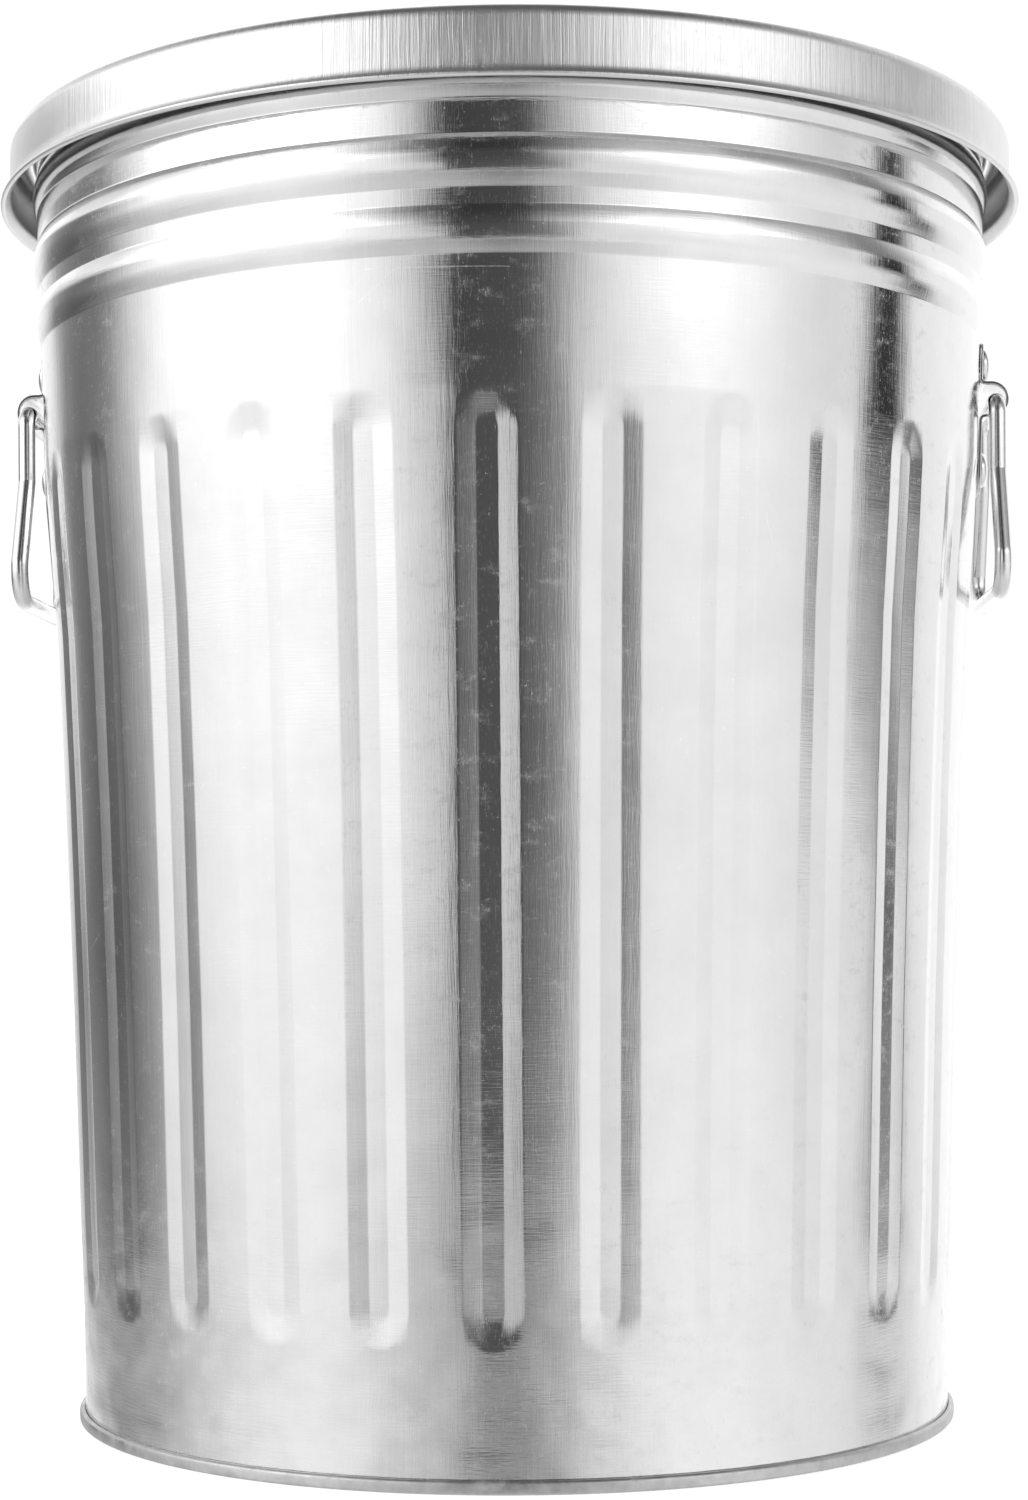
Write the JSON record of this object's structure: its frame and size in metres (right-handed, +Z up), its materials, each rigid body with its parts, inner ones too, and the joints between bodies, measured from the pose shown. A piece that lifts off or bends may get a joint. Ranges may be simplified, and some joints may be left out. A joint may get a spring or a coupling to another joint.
{
  "type": "lidded sheet metal can",
  "caption": "Tapered galvanised sheet-steel storage can with recessed vertical flutes, two swaged bands, a lift-off lid and drop handles on riveted ears.",
  "frame": {"origin": "centre of the footprint, on the floor under the bottom seam", "axes": "+Z up the can's axis, +X towards the right handle, -Y towards the front"},
  "size_m": [0.47, 0.4708, 0.6321],
  "materials": {
    "galvanised_sheet": "hot-dip galvanised sheet steel, bright, with a fine grain",
    "galvanised_base": "galvanised sheet steel, duller at the folded bottom seam",
    "bright_zinc": "bright zinc-plated steel",
    "plain_wire": "plain drawn steel wire"
  },
  "bodies": {
    "root": {"body_shell": "galvanised_sheet", "rim_wire": "plain_wire", "bottom_pan": "galvanised_base", "right_ear": "bright_zinc", "left_ear": "bright_zinc", "right_lower_rivet": "bright_zinc", "right_upper_rivet": "bright_zinc", "left_lower_rivet": "bright_zinc", "left_upper_rivet": "bright_zinc", "right_lower_washer": "bright_zinc", "right_upper_washer": "bright_zinc", "left_lower_washer": "bright_zinc", "left_upper_washer": "bright_zinc"},
    "lid": {"lid_shell": "galvanised_sheet", "lid_handle": "bright_zinc", "lid_left_rivet": "bright_zinc", "lid_right_rivet": "bright_zinc", "lid_left_washer": "bright_zinc", "lid_right_washer": "bright_zinc"},
    "right_handle": {"right_handle": "bright_zinc"},
    "left_handle": {"left_handle": "bright_zinc"}
  },
  "joints": [
    {"name": "lid_lift", "type": "slide", "parent": "root", "child": "lid", "axis": [0, 0, 1], "range_m": [0, 0.1]},
    {"name": "right_handle_swing", "type": "hinge", "parent": "root", "child": "right_handle", "pos_m": [0.2226, 0, 0.4622], "axis": [0, -1, 0], "range_deg": [-3, 150]},
    {"name": "left_handle_swing", "type": "hinge", "parent": "root", "child": "left_handle", "pos_m": [-0.2226, 0, 0.4622], "axis": [0, 1, 0], "range_deg": [-3, 150]}
  ]
}
